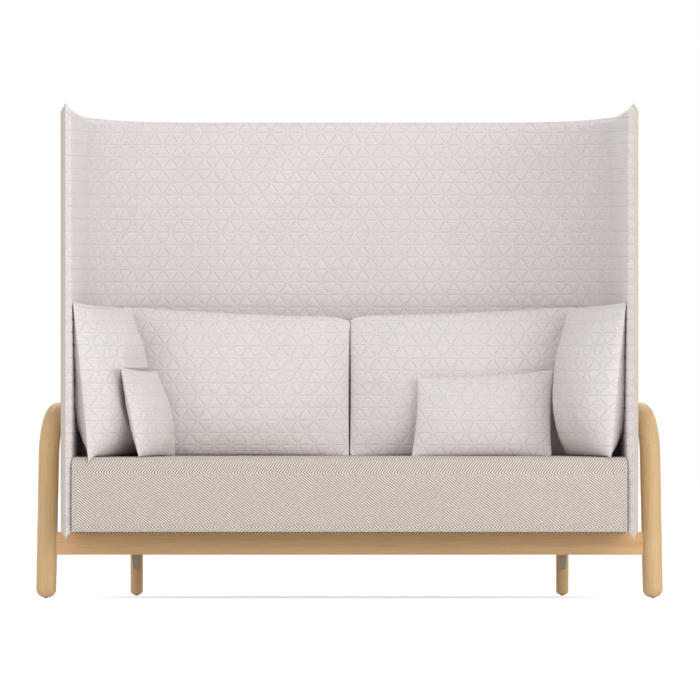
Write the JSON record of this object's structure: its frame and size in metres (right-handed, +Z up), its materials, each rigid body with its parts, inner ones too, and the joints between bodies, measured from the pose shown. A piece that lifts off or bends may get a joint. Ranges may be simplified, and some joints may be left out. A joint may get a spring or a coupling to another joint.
{
  "type": "high back settee",
  "caption": "High back settee: a U shaped upholstered shell with quilted lining on bent wood hoops, with a seat cushion and loose pillows.",
  "frame": {"origin": "on the floor under the middle of the footprint", "axes": "+X to the right as seen from the front, along the seat's length, +Y to the back, +Z up"},
  "size_m": [1.749, 0.6774, 1.371],
  "materials": {
    "beech": "satin",
    "frame_wood": "satin",
    "grey_steel": "matte",
    "zinc_plated_steel": "satin",
    "plain_cloth": "matte",
    "quilted_cloth": "matte",
    "herringbone_cloth": "matte",
    "foam": "matte",
    "belt_cloth": "matte",
    "dust_cloth": "matte",
    "glide_plastic": "matte"
  },
  "bodies": {
    "root": {"left_hoop": "beech", "right_hoop": "beech", "front_rail": "beech", "back_rail": "beech", "left_side_rail": "beech", "right_side_rail": "beech", "centre_bearer": "beech", "corner_blocks": "frame_wood", "foot_glides": "glide_plastic", "left_back_leg_bracket": "grey_steel", "right_back_leg_bracket": "grey_steel", "front_leg_studs": "zinc_plated_steel", "front_rail_dowel_nuts": "zinc_plated_steel", "back_leg_bolts": "zinc_plated_steel", "bracket_screws": "zinc_plated_steel", "shell_core": "frame_wood", "shell_inner_pad": "quilted_cloth", "shell_outer_cover": "plain_cloth", "hoop_spacers": "beech", "hoop_studs": "zinc_plated_steel", "shell_tee_nuts": "zinc_plated_steel", "seat_frame": "frame_wood", "seat_cross_members": "frame_wood", "seat_webbing": "belt_cloth", "seat_foam": "foam", "seat_cover": "herringbone_cloth", "seat_dust_cover": "dust_cloth", "seat_fixing_screws": "zinc_plated_steel", "shell_fixing_screws": "zinc_plated_steel", "left_back_pillow": "quilted_cloth", "right_back_pillow": "quilted_cloth", "left_side_pillow": "quilted_cloth", "right_side_pillow": "quilted_cloth", "left_small_pillow": "quilted_cloth", "right_small_pillow": "quilted_cloth"}
  },
  "joints": []
}
